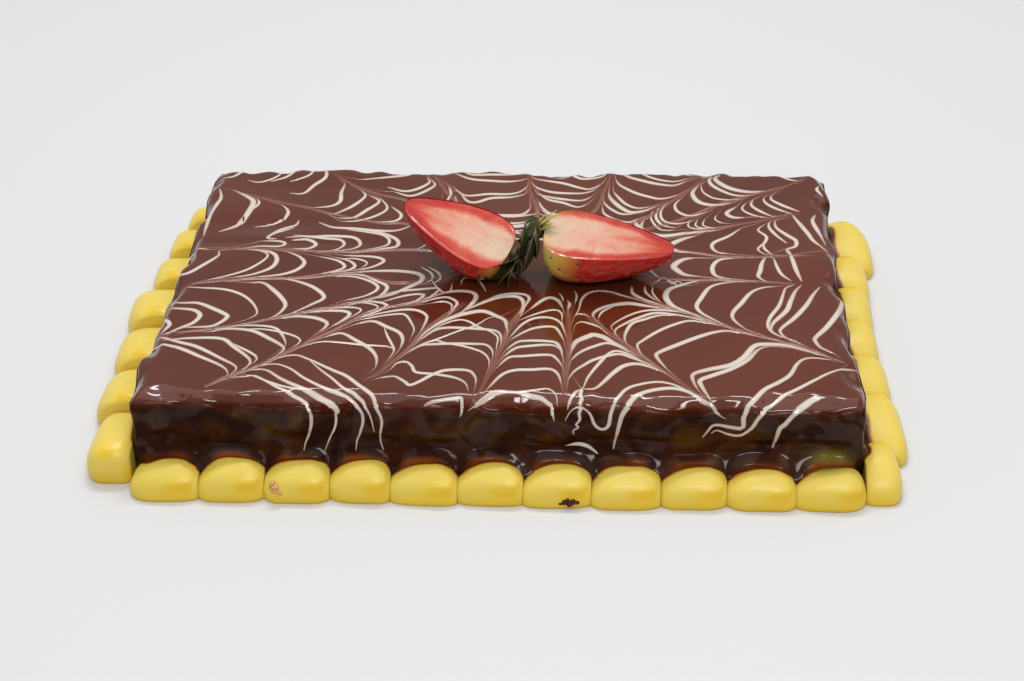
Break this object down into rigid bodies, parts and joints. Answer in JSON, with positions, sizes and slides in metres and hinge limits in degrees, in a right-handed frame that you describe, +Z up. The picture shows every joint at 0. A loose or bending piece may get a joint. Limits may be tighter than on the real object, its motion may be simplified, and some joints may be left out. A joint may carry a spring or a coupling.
{
  "type": "chocolate biscuit cake",
  "caption": "Oblong layered biscuit cake under poured chocolate glaze with a feathered white web, ringed with piped custard dollops and topped with halved strawberry.",
  "frame": {"origin": "under the middle of the whole, on the surface it stands on", "axes": "+X along the cake's long side to the right seen from the front, +Y from front to back, +Z up"},
  "size_m": [0.3096, 0.2008, 0.0628],
  "materials": {
    "glaze": "gloss",
    "custard": "satin",
    "strawberry": "gloss",
    "leaves": "satin"
  },
  "bodies": {
    "root": {"cake": "glaze", "dollop_front_1": "custard", "dollop_front_2": "custard", "dollop_front_3": "custard", "dollop_front_4": "custard", "dollop_front_5": "custard", "dollop_front_6": "custard", "dollop_front_7": "custard", "dollop_front_8": "custard", "dollop_front_9": "custard", "dollop_front_10": "custard", "dollop_front_11": "custard", "dollop_back_1": "custard", "dollop_back_2": "custard", "dollop_back_3": "custard", "dollop_back_4": "custard", "dollop_back_5": "custard", "dollop_back_6": "custard", "dollop_back_7": "custard", "dollop_back_8": "custard", "dollop_back_9": "custard", "dollop_back_10": "custard", "dollop_back_11": "custard", "dollop_left_1": "custard", "dollop_left_2": "custard", "dollop_left_3": "custard", "dollop_left_4": "custard", "dollop_left_5": "custard", "dollop_left_6": "custard", "dollop_left_7": "custard", "dollop_right_1": "custard", "dollop_right_2": "custard", "dollop_right_3": "custard", "dollop_right_4": "custard", "dollop_right_5": "custard", "dollop_right_6": "custard", "dollop_right_7": "custard", "berry_half_right": "strawberry", "berry_leaves_right": "leaves", "berry_half_left": "strawberry", "berry_leaves_left": "leaves"}
  },
  "joints": []
}
